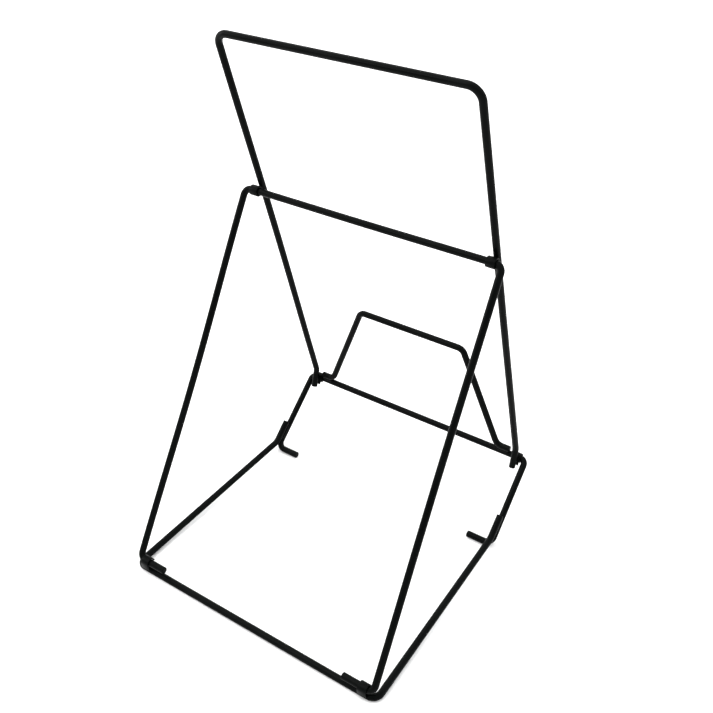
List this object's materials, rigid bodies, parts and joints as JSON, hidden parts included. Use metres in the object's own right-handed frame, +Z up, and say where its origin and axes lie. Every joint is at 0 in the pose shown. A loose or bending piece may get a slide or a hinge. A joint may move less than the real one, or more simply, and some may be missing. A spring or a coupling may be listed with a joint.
{
  "type": "photo album stand",
  "caption": "Folding display stand of bent black steel wire: a base loop, a raised ledge with a small front loop, a leaning backrest and a hinged prop frame.",
  "frame": {"origin": "centre of the footprint on the surface the stand rests on", "axes": "+Z up, the album side faces -Y, the rear bar is at +Y, X runs along the crossbars"},
  "size_m": [0.1943, 0.1955, 0.3319],
  "materials": {
    "wire_paint": "satin black powder coat on steel wire",
    "strap_paint": "satin black powder coat on thin sheet steel"
  },
  "bodies": {
    "base": {"base_loop": "wire_paint", "riser_frame": "wire_paint", "front_lip_loop": "wire_paint"},
    "backrest": {"backrest_frame": "wire_paint", "backrest_strap_left": "strap_paint", "backrest_strap_right": "strap_paint", "prop_strap_left": "strap_paint", "prop_strap_right": "strap_paint"},
    "prop": {"prop_frame": "wire_paint", "foot_strap_left": "strap_paint", "foot_strap_right": "strap_paint"}
  },
  "joints": [
    {"name": "backrest_fold", "type": "hinge", "parent": "base", "child": "backrest", "pos_m": [0, -0.09435, 0.04125], "axis": [1, 0, 0], "range_deg": [0, 105]},
    {"name": "prop_swing", "type": "hinge", "parent": "backrest", "child": "prop", "pos_m": [0, -0.04149, 0.22242], "axis": [1, 0, 0], "range_deg": [0, 130]}
  ]
}
